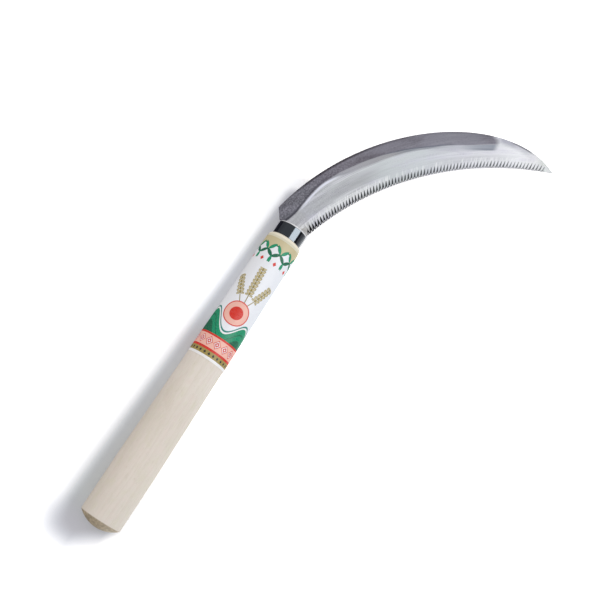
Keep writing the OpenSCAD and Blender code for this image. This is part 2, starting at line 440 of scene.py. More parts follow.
# %% The edge's arc and the number of grooves, as numbers in the tree
steel_web, size, finish_in = shape_tree("blade shape", BLADE_SIZES)
RAD = math.pi / 180
heel_x, heel_y = size["Base"], -size["Heel side"]
tip_x, tip_y = size["Base"] + size["Tip reach"], -size["Tip drop"]
chord_x, chord_y = tip_x - heel_x, tip_y - heel_y
chord = (chord_x * chord_x + chord_y * chord_y).sqrt()
radius = size["Edge radius"]
sagitta = (radius * radius - chord * chord / 4).sqrt()
centre_x = (heel_x + tip_x) / 2 + chord_y / chord * sagitta
centre_y = (heel_y + tip_y) / 2 - chord_x / chord * sagitta


def polar(x, y):
    """Distance outside the edge's arc, and angle about its centre."""
    x, y = x - centre_x, y - centre_y
    return (x * x + y * y).sqrt() - radius, steel_web.math("ARCTAN2", y, x)


heel_turn, tip_turn = polar(heel_x, heel_y)[1], polar(tip_x, tip_y)[1]
edge_len = (heel_turn - tip_turn) * radius
pitch = size["Tooth pitch"]
grooves = ((edge_len - size["Heel plain"] - size["Tip plain"]) / pitch).floor() + 1
print("edge: an arc of", BLADE_SIZES["Edge radius"], "mm radius")

# %% The grid: which column and which row a point is in
BASE_COLUMNS, PER_GROOVE, TIP_COLUMNS = 2, 3, 10
LEVELS = 12
RING = 2 * LEVELS + 3
grid = steel_web.node("GeometryNodeMeshGrid", None, {
    "Vertices X": grooves * PER_GROOVE + (BASE_COLUMNS + TIP_COLUMNS), "Vertices Y": RING})
index = steel_web.number("GeometryNodeInputIndex")
column = (index / RING + 0.5 / RING).floor()
row = index - column * RING
level = row.low(2 * LEVELS + 1 - row).high(0.0)
under = (row > LEVELS + 0.5) * (row < 2 * LEVELS + 1.5)
print("grid:", RING, "rows round the strip,", TIP_COLUMNS, "columns at the tip")

# %% Along the edge: three columns for each groove, then plain ones to the tip
cap_column = column < 0.5
base = column < BASE_COLUMNS - 0.5
counted = column - BASE_COLUMNS
groove = (counted / PER_GROOVE + 0.01).floor()
# -1 and 1 are the two sides of a groove, and 0 is its bottom
mouth = counted - groove * PER_GROOVE - 1
toothed = (1 - base) * (counted < grooves * PER_GROOVE - 0.5)
groove_s = size["Heel plain"] + groove * pitch
column_step = pitch / PER_GROOVE
last_s = size["Heel plain"] + (grooves - 1) * pitch + column_step
past = (counted - grooves * PER_GROOVE + 1) / TIP_COLUMNS
s = last_s.to(edge_len, past).to(groove_s + mouth * column_step, toothed) * (1 - base)
share = s / edge_len

# %% The spine's point for this column, on a cubic curve from its corner to the tip
corner_x, corner_y = size["Base"] + size["Corner rise"], size["Corner side"]
corner_bend, tip_bend = size["Corner angle"] * RAD, size["Tip angle"] * RAD
left = 1 - share
weights = (left * left * left, left * left * share * 3, left * share * share * 3,
           share * share * share)


def on_spine(start, start_pull, end_pull, end):
    """One coordinate of the cubic curve with pulls from both of its ends."""
    return (weights[0] * start + weights[1] * (start + start_pull)
            + weights[2] * (end - end_pull) + weights[3] * end)


spine_w, spine_turn = polar(
    on_spine(corner_x, size["Corner pull"] * corner_bend.cos(),
             size["Tip pull"] * tip_bend.cos(), tip_x),
    on_spine(corner_y, -size["Corner pull"] * corner_bend.sin(),
             -size["Tip pull"] * tip_bend.sin(), tip_y))
spine_w = spine_w.high(0.0)

# %% Across the strip: this row's distance from the edge, with one row on the base's back end
BASE_BLEND, CREST_ROWS, BEHIND_GROOVE = 14.0, 0.8, 1.6
corner_w, corner_turn = polar(corner_x, corner_y)
back_w, back_turn = polar(size["Base"], size["Back side"])
at_base = 1 - s.rise(0.0, BASE_BLEND)
bevel = steel_web.number("ShaderNodeFloatCurve", {
    "points": [(x, w / WIDEST) for x, w in BEVEL_WIDTHS]}, {"Value": share}) * WIDEST
lean = size["Groove lean"] * RAD
slope = (size["Thickness"] - size["Edge thickness"]) / bevel
depth = size["Edge thickness"] + size["Groove break"]
notch = size["Groove break"] / (depth / size["Groove length"] + slope * lean.cos()) * lean.cos()
groove_w = size["Groove length"] * lean.cos()
after = groove_w + BEHIND_GROOVE
chamfer = size["Spine chamfer"].low(spine_w * 0.2)
# Where each row wants to be, and the share of the width it may take where the blade is narrow
wanted = [notch, groove_w * 0.64, groove_w, after, after.to(bevel, 0.33), after.to(bevel, 0.67),
          bevel - CREST_ROWS, bevel, bevel + CREST_ROWS,
          bevel.to(spine_w, 0.55).to(spine_w * back_w / corner_w, at_base)]
most = [0.25, 0.5, 0.76, 0.8, 0.84, 0.87, 0.9, 0.925, 0.95, 0.965]
w = steel_web.pick(level, [0.0] + [place.low(spine_w * part) for place, part in zip(wanted, most)]
                   + [spine_w - chamfer, spine_w])
GROOVE_LEVELS = 3
in_groove = level < GROOVE_LEVELS + 0.5
in_bottom = toothed * (abs(mouth) < 0.5) * in_groove
w = w.to(w.high(notch), in_bottom)

# %% Where the point is along the arc
spine_share = w / spine_w.high(0.001)
linear = (heel_turn - s / radius).to(spine_turn, spine_share)
base_w = spine_share * corner_w
straight = steel_web.math("ARCCOSINE", (size["Base"] - centre_x) / (base_w + radius))
slanted = back_turn.to(corner_turn, (base_w - back_w) / (corner_w - back_w))
bent = straight.to(slanted, base_w > back_w) - heel_turn.to(corner_turn, spine_share)
plain = linear + bent * at_base
GENTLE_SIDE, STEEP_SIDE = 1.58, 0.53
cut = depth * (1 - w / groove_w).high(0.0)
aside = (mouth * ((STEEP_SIDE + GENTLE_SIDE) / 2) + (STEEP_SIDE - GENTLE_SIDE) / 2) * abs(mouth)
leaned = groove_s + w * lean.sin() / lean.cos()
on_top = leaned + cut * aside / lean.cos()
at_edge = leaned + size["Groove break"] * aside / lean.cos()
at_back = (leaned + mouth * column_step).to(at_edge, level < 0.5)
turn = plain.to(heel_turn - on_top.to(at_back, under) / radius, toothed * in_groove)

# %% How high it is, and the roll of the whole blade
half_t = size["Thickness"] / 2
face = size["Edge thickness"] + (size["Thickness"] - size["Edge thickness"]) * (w / bevel).low(1.0)
side = chamfer * (level > LEVELS - 0.5)
z = (face - half_t - cut * in_bottom - side).to(side - half_t, under.high(cap_column))
z = z.high(-half_t)
x = centre_x + (radius + w) * turn.cos()
y = centre_y + (radius + w) * turn.sin()


def laid(x, y, z):
    """A point of the blade's own plane, rolled over to the table, in metres."""
    roll = size["Roll"] * RAD
    return steel_web.node("ShaderNodeCombineXYZ", None, {
        "X": x * MM, "Y": (y * roll.cos() - z * roll.sin()) * MM,
        "Z": (y * roll.sin() + z * roll.cos()) * MM}).outputs[0]


moved = steel_web.node("GeometryNodeSetPosition", None, {
    "Geometry": grid.outputs[0], "Position": laid(x, y, z)}).outputs[0]

# %% [markdown]
# The finish of the blade follows the edge: how far along it a point is, how far across, whether
# it was ground, and whether it is at the bottom of a groove. The tree knows these numbers, so it
# leaves them on the mesh as attributes, and the material reads them. Merging the doubled points
# then closes the strip's section, its base and its tip.

# %% Attributes for the finish, and the closed crescent
MERGED_WITHIN = 0.002
bottom = in_bottom * (level < GROOVE_LEVELS - 0.5)
flat_side = under.high(level > LEVELS - 0.5).high(cap_column)
marks = {"along": (heel_turn - turn) * radius, "across": w, "rim": spine_w - w,
         "under": flat_side * (1 - bottom)}
for name, value in marks.items():
    moved = steel_web.node("GeometryNodeStoreNamedAttribute", {
        "data_type": "FLOAT", "domain": "POINT"}, {
        "Geometry": moved, "Name": name, "Value": value}).outputs[0]
crescent = steel_web.node("GeometryNodeMergeByDistance", None,
                          {"Geometry": moved, "Distance": MERGED_WITHIN * MM}).outputs[0]
print("numbers left on the mesh:", ", ".join(marks))

# %% [markdown]
# The tang is the narrow end of the same strip, hidden in the cap and the wood, with a hole for
# the nail. It could be more columns of the grid, but its width has nothing to do with the arc.
# So a box is pulled into a taper, joined to the crescent, and the hole is cut out of it.

# %% Tang with its nail hole
cube = steel_web.node("GeometryNodeMeshCube", None, {"Size": (1, 1, 1)}).outputs[0]
cube_x, cube_y, cube_z = separate(
    steel_web, steel_web.node("GeometryNodeInputPosition").outputs[0])
tang_share = cube_x + 0.5
tang_x = size["Base"] - size["Tang length"] + (
    size["Tang length"] + size["Tang root"]) * tang_share
tang_y = cube_y * size["Tang end width"].to(size["Tang width"], tang_share)
tang = steel_web.node("GeometryNodeSetPosition", None, {
    "Geometry": cube, "Position": laid(tang_x, tang_y, cube_z * size["Thickness"])}).outputs[0]
rod = steel_web.node("GeometryNodeMeshCylinder", None, {
    "Vertices": 32, "Radius": 0.5, "Depth": 1.0}).outputs[0]
hole = steel_web.node("GeometryNodeSetPosition", None, {
    "Geometry": rod, "Position": laid(
        size["Nail place"] + cube_x * size["Nail hole"], cube_y * size["Nail hole"],
        cube_z * size["Thickness"] * 3)}).outputs[0]
whole = steel_web.node("GeometryNodeMeshBoolean", {"operation": "UNION"}, {
    "Mesh 2": [tang, crescent]}).outputs[0]
drilled = steel_web.node("GeometryNodeMeshBoolean", {"operation": "DIFFERENCE"}, {
    "Mesh 1": whole, "Mesh 2": hole}).outputs[0]
print("blade tree:", len(steel_web.tree.nodes), "nodes")

# %% [markdown]
# ## Steel of the blade
# Along the spine the blade keeps the dark skin of the rolled sheet. The grinding wheel has laid
# the metal bare below it, and where the wheel only grazed the skin a grey band is left between
# the two. Towards the tip the wheel ran over the whole width. It leaves streaks along the arc,
# broader and more uneven near the heel, with a faint tinge here and there. The file's strokes
# are darker than the metal round them and get thinner and paler towards the tip, and each one
# ends in a few bright scratches. A painted picture could hold all this, but it would blur close
# up. So every mark is a formula in the mesh's own numbers, and noise stretched along the arc
# gives the streaks, which then bend with the blade.

# %% Helpers for finishes
def mark(web, name):
    """A number that the mesh carries."""
    return web.number("ShaderNodeAttribute", {"attribute_name": name}, output=2)


def noise(web, x, y, z, detail=3.0, rough=0.5):
    """Cloudy noise about 0.5, one cloud for each unit of x, y and z."""
    place = web.node("ShaderNodeCombineXYZ", None, {"X": x, "Y": y, "Z": z})
    return web.number("ShaderNodeTexNoise", None, {
        "Vector": place.outputs[0], "Scale": 1.0, "Detail": detail, "Roughness": rough})


def layered(web, colour, *layers):
    """A colour with (share, colour) layers laid over it, one after the other."""
    for share, over in layers:
        colour = mix(web, share, colour, over)
    return colour


def two_way(value, up, over, down, under):
    """Two layers: a colour where a noise is above its middle, and another where it is below."""
    return ((value - 0.5).high(0.0) * up, over), ((0.5 - value).high(0.0) * down, under)


def bumped(web, height, distance_mm):
    """A normal that follows a height from 0 to 1 over a depth in millimetres."""
    return web.node("ShaderNodeBump", None, {
        "Strength": 1.0, "Distance": distance_mm * MM, "Height": height}).outputs[0]


def finished(web, colour, roughness, **sockets):
    """The Principled shader with its colour and roughness, on the material's output."""
    shader = web.node("ShaderNodeBsdfPrincipled", None, {
        "Base Color": colour, "Roughness": roughness, **sockets})
    web.node("ShaderNodeOutputMaterial", None, {"Surface": shader.outputs[0]})
    print("a finish of", len(web.tree.nodes), "nodes")


# %% What the mesh tells the steel, and its noises
EDGE_LEN = 182.3
LIGHT_SCRATCH, DARK_SCRATCH = (236, 238, 244), (148, 150, 156)
blade_steel, web = new_material("blade steel")
along, across, rim, below = (mark(web, name) for name in ("along", "across", "rim", "under"))
streaks = noise(web, along * 0.03 + across * 0.03, across * 1.1, 0.0, 5.0, 0.62)
fine = noise(web, along * 0.12, across * 5.0, 3.0, 2.0)
clouds = noise(web, along * 0.06, across * 0.16, 7.0, 3.0)
grit = noise(web, along * 0.85, across * 0.85, 11.0, 4.0, 0.75)


def width_along(points):
    """A width in millimetres that changes along the edge, from (along, width) points."""
    return web.number("ShaderNodeFloatCurve", {
        "points": [(s / EDGE_LEN, w / WIDEST) for s, w in points]},
        {"Value": along / EDGE_LEN}) * WIDEST


def colour_along(*stops):
    """A colour that changes along the edge, from (along, red, green, blue) stops."""
    return web.node("ShaderNodeValToRGB", {
        "stops": [(s / EDGE_LEN, srgb(*colour)) for s, *colour in stops]},
        {0: along / EDGE_LEN}).outputs[0]


def between(value, low, high, soft):
    """1 between two values, with a soft edge."""
    return value.rise(low - soft, low + soft) * (1 - value.rise(high - soft, high + soft))


# %% Where the skin is left, and where the wheel only grazed it
wavering = across + (noise(web, along * 0.09, across * 0.05, 5.0) - 0.5) * 0.8
skin_from = width_along([(0, 16.1), (5, 16.4), (10, 17.6), (15, 19.0), (20, 20.4), (25, 21.5),
                         (32, 22.4), (60, 22.4), (70, 21.8), (80, 20.9), (90, 19.9), (100, 18.6),
                         (110, 17.9), (120, 16.9), (130, 16.1), (141, 16.3), (181, 16.3)])
grazed_from = width_along([(0, 16.0), (17, 19.3), (30, 21.9), (38, 21.5), (45, 20.0), (58, 18.8),
                           (84, 18.8), (92, 18.4), (100, 17.7), (108, 17.0), (114, 15.8),
                           (122, 13.4), (130, 12.2), (141, 11.9), (181, 11.9)])
nose = (across - 17.0) / 4.0
run_out = (along + nose * nose * 1.5 + (clouds - 0.5) * 4).rise(142.2, 147.0)
skin = (wavering - skin_from).rise(-0.45, 0.45) * (1 - run_out)
soft = 0.7 + between(along, 106.0, 130.0, 8.0) + between(along, 46.0, 84.0, 10.0) * 0.5
grazed = (wavering - grazed_from).rise(-soft, soft) * (1 - skin) * (1 - run_out)
grazed = grazed * (1 - between(along, 106.0, 124.0, 7.0) * 0.45)

# %% Colour of the bare metal
bright = colour_along((0, 172, 172, 174), (7, 176, 176, 179), (9.5, 188, 189, 200),
                      (22, 186, 188, 193), (45, 190, 192, 196), (64, 190, 195, 199),
                      (80, 196, 201, 205), (100, 203, 207, 213), (122, 213, 214, 222),
                      (140, 222, 223, 229), (158, 236, 237, 242), (169, 228, 228, 232),
                      (176, 208, 213, 209), (181, 196, 202, 197))
tinge = noise(web, along * 0.08, across * 0.22, 31.0, 2.0)
broad = noise(web, along * 0.07 + across * 0.1, across * 0.5, 41.0, 2.0)
near = 1 - along.rise(40.0, 76.0)
streaky = 0.5 + between(along, 104.0, 130.0, 12.0) * 0.4 + near * 1.4
shaded = between(across, 9.1, 16.8, 1.8) * between(along, -4.0, 61.0, 12.0)
# Painted highlight: a bright lavender line just below the skin's edge, near the heel
ridge_highlight = between(skin_from - across, 0.1, 1.7, 0.6) * between(along, 13.0, 42.0, 8.0)
pale = between(across, 14.2, 18.2, 1.2) * between(along, 26.0, 84.0, 10.0)
strip = between(across, 2.6, 7.0, 1.0) * (1 - along.rise(50.0, 75.0)) * along.rise(6.0, 20.0)
lands = (1 - across.rise(3.0, 5.5)) * along.rise(95.0, 130.0)
bright = layered(
    web, bright,
    *two_way(tinge, 1.3, (198, 195, 216), 1.1, (188, 198, 196)),
    *two_way(broad, near * 1.7, (222, 222, 230), near * 1.9, (138, 139, 144)),
    *two_way(streaks, streaky * 1.5, LIGHT_SCRATCH, streaky * 2.1, DARK_SCRATCH),
    (shaded * (0.10 + (streaks - 0.28).high(0.0) * 2.2), (160, 162, 166)),
    (ridge_highlight * (0.5 + clouds * 0.9), (222, 224, 238)),
    (pale * 0.12, (226, 230, 234)),
    (strip * 0.5, (228, 230, 232)),
    (lands * 0.45, (240, 242, 246)))

# %% The bare metal by the spine, the teeth and the heel
by_spine = (1 - rim.rise(1.5, 5.0)) * between(along, 145.0, 165.0, 4.0)
before_band = between(grazed_from - across, -1.0, 2.6, 1.2) * between(along, 101.0, 119.0, 7.0)
by_teeth = between(across, 4.6, 9.0, 1.0) * between(along, 98.0, 150.0, 10.0)
at_heel = (1 - along.rise(2.0, 8.0)) * (1 - across.rise(4.0, 8.0))
heel_half = 1 - along.rise(20.0, 44.0)
# Painted shade: a dark line along the spine's edge near the tip, for the dark that its chamfer
# reflects
tip_edge_shade = (1 - rim.rise(0.6, 1.6)) * between(along, 154.5, 167.0, 2.5)
bright = layered(
    web, bright,
    (by_spine * (0.55 + between(along, 146.0, 156.0, 2.0) * 0.35), (170, 171, 183)),
    (before_band * 0.4, (160, 161, 172)),
    (by_teeth * 0.35, (188, 189, 194)),
    (at_heel * 0.5, (168, 165, 158)),
    *two_way(grit, heel_half * 1.4, (226, 228, 236), heel_half * 1.2, (136, 136, 146)),
    ((0.5 - grit).high(0.0) * along.rise(140.0, 165.0) * 1.6, (176, 180, 176)),
    (tip_edge_shade * 0.85, (112, 112, 120)))

# %% Colour of the grazed band
grazed_colour = colour_along((0, 150, 150, 156), (50, 160, 160, 167), (76, 154, 154, 158),
                             (88, 132, 136, 144), (102, 134, 138, 147), (112, 166, 169, 178),
                             (125, 164, 168, 178), (134, 154, 159, 170), (145, 144, 150, 162))
grazed_line = between(wavering - grazed_from, 0.3, 1.5, 0.6) * (1 - between(along, 46, 126, 9))
grazed_colour = layered(
    web, grazed_colour,
    (streaks.rise(0.45, 0.75) * 0.5, (186, 188, 196)),
    (grazed_line * (0.3 + along.rise(124.0, 138.0) * 0.2), (122, 126, 138)))

# %% Colour of the skin
dark = colour_along((0, 98, 99, 107), (10, 108, 109, 116), (18, 110, 111, 119),
                    (31, 107, 104, 114), (43, 112, 108, 117), (60, 119, 116, 125),
                    (80, 124, 122, 132), (100, 134, 133, 144), (117, 139, 139, 148),
                    (131, 131, 131, 140), (145, 115, 112, 122))
lighter = (1 - (across - skin_from).rise(0.5, 6.0)) * along.rise(88.0, 106.0)
brushed = noise(web, (along - across) * 0.45, (along + across) * 0.12, 23.0, 3.0)
blue_line = between(wavering - skin_from, -0.3, 1.0, 0.5) * between(along, 76.0, 114.0, 8.0)
grain = 4.4 - along.rise(25.0, 72.0) * 3.2
lower_line = between(wavering - skin_from, 0.2, 1.5, 0.6) * heel_half
# Painted shade: a dark line along the spine's edge, for the dark that its chamfer reflects
spine_edge_shade = 1 - (rim + (grit - 0.5) * 0.5).rise(0.7, 2.2)
line_share = (1 - along.rise(52.0, 90.0) * 0.8) * along.rise(4.0, 24.0) * 0.8
dark = layered(
    web, dark,
    (lighter * 0.6, (152, 151, 163)),
    ((clouds - 0.46).high(0.0) * 2.6, (136, 135, 146)),
    ((0.50 - clouds).high(0.0) * 2.4, (84, 80, 88)),
    ((brushed - 0.5).high(0.0) * 1.6, (140, 139, 148)),
    ((streaks - 0.5).high(0.0) * along.rise(60.0, 90.0) * 2.0, (160, 160, 170)),
    (blue_line * 0.6, (98, 104, 117)),
    *two_way(grit, grain, (156, 152, 162), grain, (72, 69, 78)),
    (lower_line * (0.85 - along.rise(5.0, 16.0) * 0.4), (66, 66, 74)),
    (spine_edge_shade * line_share, (50, 46, 52)))
colour = mix(web, skin.high(below), mix(web, grazed, bright, grazed_colour), dark)

# %% The file's strokes, over the grooves
PITCH, LEAN = BLADE_SIZES["Tooth pitch"], math.tan(math.radians(BLADE_SIZES["Groove lean"]))
leaned_s = along - across * LEAN - BLADE_SIZES["Heel plain"]
stroke = (leaned_s / PITCH + 0.5).floor()
off_centre = leaned_s - stroke * PITCH + 0.22
chance = noise(web, stroke * 3.7, 0.5, 0.5, 1.0)
reach = 5.0 + (chance - 0.5) * 2.4 - (stroke < 0.5) * 1.8
near_heel = 1 - along.rise(12.0, 20.0)
by_tip = along.rise(138.0, 162.0)
half_width = (1 - across / (reach - near_heel * 0.5)).high(0.0) ** 0.5
half_width = half_width * (0.8 + near_heel * 0.3 - by_tip * 0.36)
filed = (1 - (abs(off_centre) - half_width).rise(-0.22, 0.22)) * (1 - across.rise(4.2, 5.6))
toothed_part = (leaned_s > -0.9) * (1 - along.rise(174.5, 176.0)) * (1 - below)
stroke_colour = colour_along((0, 24, 22, 28), (9, 30, 30, 34), (14, 58, 62, 61),
                             (60, 72, 75, 74), (90, 124, 126, 127),
                             (110, 146, 148, 150), (130, 158, 160, 164),
                             (150, 152, 155, 158), (176, 138, 142, 140))
scratches = noise(web, leaned_s * 1.25, across * 0.10, 17.0, 2.0)
scratched = between(across, 3.8, 7.4, 1.3) * scratches.rise(0.48, 0.66) * (1 - below)
uneven = 0.5 + along.rise(135.0, 168.0) * 1.8
strength = 0.80 + near_heel * 0.15 + (chance - 0.5) * uneven
colour = layered(web, colour, (scratched * 0.6, (236, 238, 240)),
                 (filed * toothed_part * strength, stroke_colour))

# %% Blade
def smoothed(piece, sharp_degrees=35):
    """Shades the piece smooth, apart from edges sharper than the angle."""
    piece.data.shade_smooth()
    piece.data.set_sharp_from_angle(angle=math.radians(sharp_degrees))


rough = (0.30 + (streaks - 0.5) * 0.25 + (fine - 0.5) * 0.2).to(0.46 + (grit - 0.5) * 0.2, skin)
height = (streaks * 0.5 + fine * 0.5).to(grit, skin)
finished(web, colour, rough, Metallic=1.0, Normal=bumped(web, height, 0.012))
blade = grown("blade", steel_web, drilled, BLADE_SIZES, blade_steel, finish_in)
smoothed(blade, 14)
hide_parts("blade")
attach(blade, "root")
print("blade:", len(blade.data.polygons), "faces,",
      [round(c * 1000, 1) for c in blade.dimensions], "mm")

# %% [markdown]
# ## The handle
# The handle is turned from one piece of pale wood: a domed butt, a straight grip, a long taper
# to the shoulder, and a tenon that fills the cap. It could be a cylinder that is scaled and
# rounded, but a turned piece is a profile swept round an axis, as on a lathe. So one function
# turns a list of points, every radius is a plain number, and it serves the cap as well. Slots
# and holes are then cut as a joiner would cut them.

# %% Sizes of the handle
GRIP_LEN = 40.0
HANDLE_LEN = 210.3
SHOULDER_R = 11.9
SHOULDER_ROUND = 2.5
TAPER_END = HANDLE_LEN - SHOULDER_ROUND
DOME_H, BUTT_ROUND = 6.0, 1.5
TENON_R, TENON_END = 9.3, 219.3


def handle_r(x):
    """Radius of the wooden handle at x, in millimetres."""
    share = max(0.0, (x - GRIP_LEN) / (TAPER_END - GRIP_LEN))
    return BUTT_R + (SHOULDER_R - BUTT_R) * share


print("handle:", round(HANDLE_LEN + DOME_H, 1), "mm from the dome to the shoulder")

# %% Turning a profile round the handle's axis
def piece_from(work, name, finish=None):
    """The object that a finished bmesh gives."""
    mesh = bpy.data.meshes.new(name)
    work.to_mesh(mesh)
    work.free()
    if finish:
        mesh.materials.append(finish)
    return shown(name, mesh)


def turned(name, profile, finish, steps=144):
    """A closed turned piece from [x, radius] points in millimetres, walked from axis to axis."""
    work = bmesh.new()
    turns = [2 * math.pi * n / steps for n in range(steps)]
    rings = []
    for x, r in profile:
        on_axis = r < 1e-6
        rings.append([work.verts.new((x * MM, r * MM * math.cos(a), r * MM * math.sin(a)))
                      for a in (turns[:1] if on_axis else turns)])
    for ring, ahead in zip(rings, rings[1:]):
        for n in range(steps):
            m = (n + 1) % steps
            corners = [ring[n % len(ring)], ring[m % len(ring)],
                       ahead[m % len(ahead)], ahead[n % len(ahead)]]
            work.faces.new(list(dict.fromkeys(corners)))
    bmesh.ops.recalc_face_normals(work, faces=work.faces[:])
    return piece_from(work, name, finish)


def arc(cx, cy, r, start, end, steps=10):
    """Points on an arc about (cx, cy) between two angles in degrees."""
    turns = [math.radians(start + (end - start) * n / steps) for n in range(steps + 1)]
    return [(cx + r * math.cos(a), cy + r * math.sin(a)) for a in turns]


# %% Cutting slots and holes
def cutter(x, width, height, length, round_one=False):
    """A box or a rod in the blade's plane, for cutting. x is where it starts or its middle."""
    work = bmesh.new()
    if round_one:
        bmesh.ops.create_cone(work, cap_ends=True, segments=48, radius1=width / 2,
                              radius2=width / 2, depth=length)
        place = Matrix.Translation((x, 0, height))
    else:
        bmesh.ops.create_cube(work, size=1.0)
        place = Matrix.Translation((x + length / 2, 0, 0)) @ Matrix.Diagonal(
            (length, width, height, 1))
    work.transform(Matrix.Diagonal((MM, MM, MM, 1)) @ Matrix.Rotation(ROLL, 4, "X") @ place)
    return piece_from(work, "cutter")


def cut_away(piece, tools):
    """Cuts each tool's shape out of the piece and throws the tools away."""
    for tool in tools:
        modifier = piece.modifiers.new("cut", "BOOLEAN")
        modifier.operation, modifier.solver, modifier.object = "DIFFERENCE", "EXACT", tool
    applied(piece)
    for tool in tools:
        bpy.data.objects.remove(tool)


# %% [markdown]
# ## Pale wood
# The wood is close-grained and left bare: fine fibres and short dark pores along the handle, a
# faint ring pattern and a darker cut end on the dome. The end grain is painted darker still, as
# painted shade, and the shoulder's rounding carries a painted highlight. Lines painted along the
# handle would look right from one side only. Here the numbers are worked out in space, as in a
# real log: the same rings that run as long streaks down the side close into arcs on the end.

# %% Grain of the wood
pale_wood, web = new_material("pale wood")
x, y, z = place_mm(web)
PITH_Y, PITH_Z, RING_WIDTH = -46, -61, 2.6
drift = (noise(web, x * 0.008, y * 0.05, z * 0.05, 2.0) - 0.5) * 14
pith_y, pith_z = y - PITH_Y, z - PITH_Z
ring = ((pith_y * pith_y + pith_z * pith_z).sqrt() + drift) / RING_WIDTH
latewood = (ring % 1.0).rise(0.45, 0.98) * (1 - (ring % 1.0).rise(0.98, 1.0))
fibre = noise(web, x * 0.05, y * 2.6, z * 2.6, 4.0, 0.6)
pores = noise(web, x * 0.22, y * 4.0, z * 4.0, 2.0, 0.5).rise(0.60, 0.74)
fleck = noise(web, x * 0.35, y * 1.6, z * 1.6, 2.0, 0.5).rise(0.60, 0.76)
dash = noise(web, x * 0.28, y * 1.1 + 40, z * 1.1, 2.0, 0.5).rise(0.62, 0.76)
mottle = noise(web, x * 0.16, y * 0.3, z * 0.3, 2.0)
patches = noise(web, x * 0.05, y * 0.11, z * 0.11, 3.0)

# %% Colour of the wood
# The cut end: darker end grain, painted darker still as painted shade, since the dome faces away
# from the light
cut_end = 1 - x.rise(-1.1, -0.3)
rays_out = noise(web, x * 0.05, y * 0.5, z * 0.5, 4.0, 0.6)
end_grain_and_shade = mix(web, rays_out.rise(0.35, 0.7), (136, 122, 96), (178, 160, 128))
wood_colour = layered(
    web, (229, 220, 209),
    (patches.rise(0.35, 0.65), (226, 218, 205)),
    ((1 - x.rise(0.0, 40.0)) * 0.4, (214, 208, 198)),
    (x.rise(76.0, 100.0) * 0.4, (242, 235, 226)),
    (latewood * 0.14, (204, 190, 172)),
    ((fibre - 0.4).high(0.0) * 0.7, (204, 193, 180)),
    (pores * 0.22, (172, 158, 142)),
    (fleck * 0.3, (240, 232, 222)),
    (dash * 0.3, (196, 184, 160)),
    *two_way(mottle, 1.5, (218, 213, 188), 1.5, (230, 214, 204)),
    # Yellowish by the sleeve's edge, then near-white on the shoulder's rounding: a painted
    # highlight where the rounding faces the light
    (x.rise(205.5, 207.0) * 0.8, (222, 219, 192)),
    ((x + (fibre - 0.5) * 0.5).rise(207.2, 208.8), (250, 243, 222)),
    (cut_end * 0.9, end_grain_and_shade))
wood_height = fibre * 0.5 - pores * 0.6 - latewood * 0.2
finished(web, wood_colour, 0.58 + (fibre - 0.5) * 0.2, Normal=bumped(web, wood_height, 0.05))

# %% Handle as turned
RING_STEP = 4
rim_r = BUTT_R - BUTT_ROUND
dome_r = (rim_r ** 2 + DOME_H ** 2 - BUTT_ROUND ** 2) / (2 * (DOME_H - BUTT_ROUND))
dome_centre = dome_r - DOME_H
dome_angle = math.degrees(math.atan2(rim_r, dome_centre))
profile = arc(dome_centre, 0, dome_r, 180, 180 - dome_angle, 24)
profile[0] = (-DOME_H, 0.0)
profile += arc(0, rim_r, BUTT_ROUND, 180 - dome_angle, 90, 8)[1:]
profile += [(x, handle_r(x)) for x in range(2, int(GRIP_LEN), RING_STEP)]
profile += [(x, handle_r(x)) for x in range(int(GRIP_LEN), int(TAPER_END), RING_STEP)]
profile += arc(TAPER_END, SHOULDER_R - SHOULDER_ROUND, SHOULDER_ROUND, 90, 0)
profile += [(HANDLE_LEN, TENON_R), (TENON_END, TENON_R), (TENON_END, 0.0)]
handle = turned("handle", profile, pale_wood)
print("profile of", len(profile), "points")

# %% Slot for the tang and hole for the nail
SLOT_ROOM = 0.15
SLOT_W, SLOT_T = BLADE_SIZES["Tang width"] + 2 * SLOT_ROOM, BLADE_T + 2 * SLOT_ROOM
SLOT_START, SLOT_LEN = BLADE_SIZES["Base"] - BLADE_SIZES["Tang length"] - SLOT_ROOM, 62.0
NAIL_X, NAIL_D, NAIL_HEAD_D, NAIL_HEAD_T, NAIL_SINK = BLADE_SIZES["Nail place"], 3.0, 5.0, 0.8, 0.3
THROUGH, ABOVE = 60.0, 30.0
head_z = handle_r(NAIL_X) - NAIL_SINK - NAIL_HEAD_T
cut_away(handle, [
    cutter(SLOT_START, SLOT_W, SLOT_T, SLOT_LEN),
    cutter(NAIL_X, NAIL_D, 0, THROUGH, round_one=True),
    cutter(NAIL_X, NAIL_HEAD_D, head_z + ABOVE / 2, ABOVE, round_one=True)])
smoothed(handle)
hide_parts("handle")
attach(handle, "root")
print("handle:", len(handle.data.polygons), "faces")

# %% [markdown]
# ## The steel cap
# A drawn steel cap, black and glossy, is driven over the tenon. Its far edge is rolled over and
# its end face is slotted for the tang. A cylinder with a bevel would do for a rough cap. A
# turned profile gives the true roll and the wall's thickness in the slot. The black is a smooth
# coat with a faint ripple in it, and the roll carries a painted highlight: a thin near-white ring.

# %% Black coat
black_coat, web = new_material("black coat")
x, y, z = place_mm(web)
ripple = noise(web, x * 0.15, y * 0.15, z * 0.15, 2.0)
specks = noise(web, x * 1.4, y * 1.4, z * 1.4, 3.0).rise(0.62, 0.75)
rim_noise = noise(web, x * 0.5, y * 0.5, z * 0.5, 3.0) - 0.5
from_axis = (y * y + z * z).sqrt()
